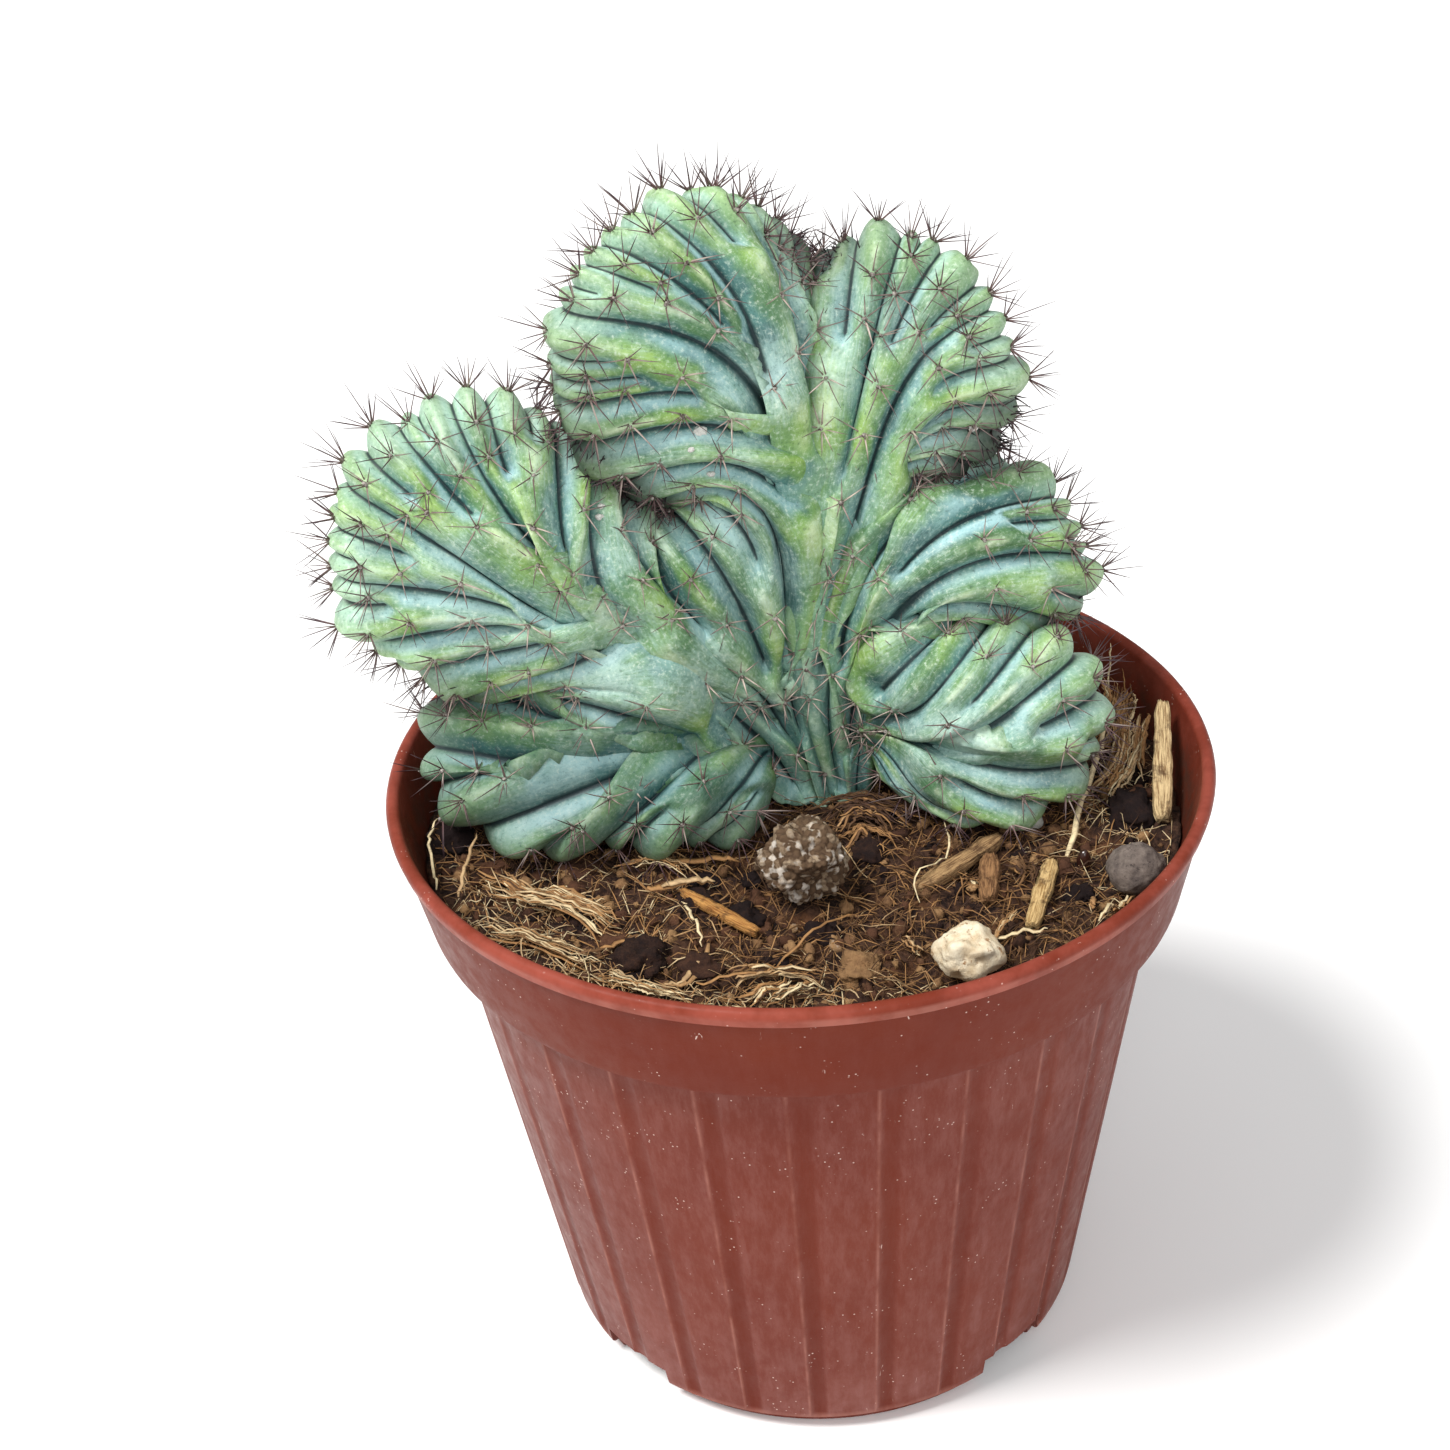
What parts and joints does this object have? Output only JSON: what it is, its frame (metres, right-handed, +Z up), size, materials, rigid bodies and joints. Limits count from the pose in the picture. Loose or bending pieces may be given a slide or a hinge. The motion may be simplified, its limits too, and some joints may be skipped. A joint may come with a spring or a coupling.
{
  "type": "potted crested cactus",
  "caption": "Crested columnar cactus with a winding fan of ribs and dark spines, growing in potting mix in a round fluted plastic nursery pot.",
  "frame": {"origin": "centre of the pot's flat underside, on the surface it stands on", "axes": "+Z up; the broad face of the crest looks along -Y, and +X is to the right of someone who faces it"},
  "size_m": [0.1295, 0.12, 0.1846],
  "materials": {
    "pot_plastic": "satin terracotta brown, dusty towards the foot",
    "potting_mix": "dark peat with brown coir fibres",
    "cactus_skin": "waxy green with a pale bloom, dark spines",
    "stone_pumice": "rough and porous",
    "stone_cream": "rough",
    "pebble_dark": "smooth",
    "pebble_pale": "smooth",
    "wood_chip": "split, unfinished"
  },
  "bodies": {
    "root": {"pot": "pot_plastic", "soil": "potting_mix", "cactus_crest": "cactus_skin", "stone_pumice": "stone_pumice", "stone_cream": "stone_cream", "pebble_dark": "pebble_dark", "pebble_pale": "pebble_pale", "chip_splinter": "wood_chip", "chip_bark": "wood_chip", "chip_pale": "wood_chip", "chip_stick": "wood_chip", "chip_leaning": "wood_chip"}
  },
  "joints": []
}
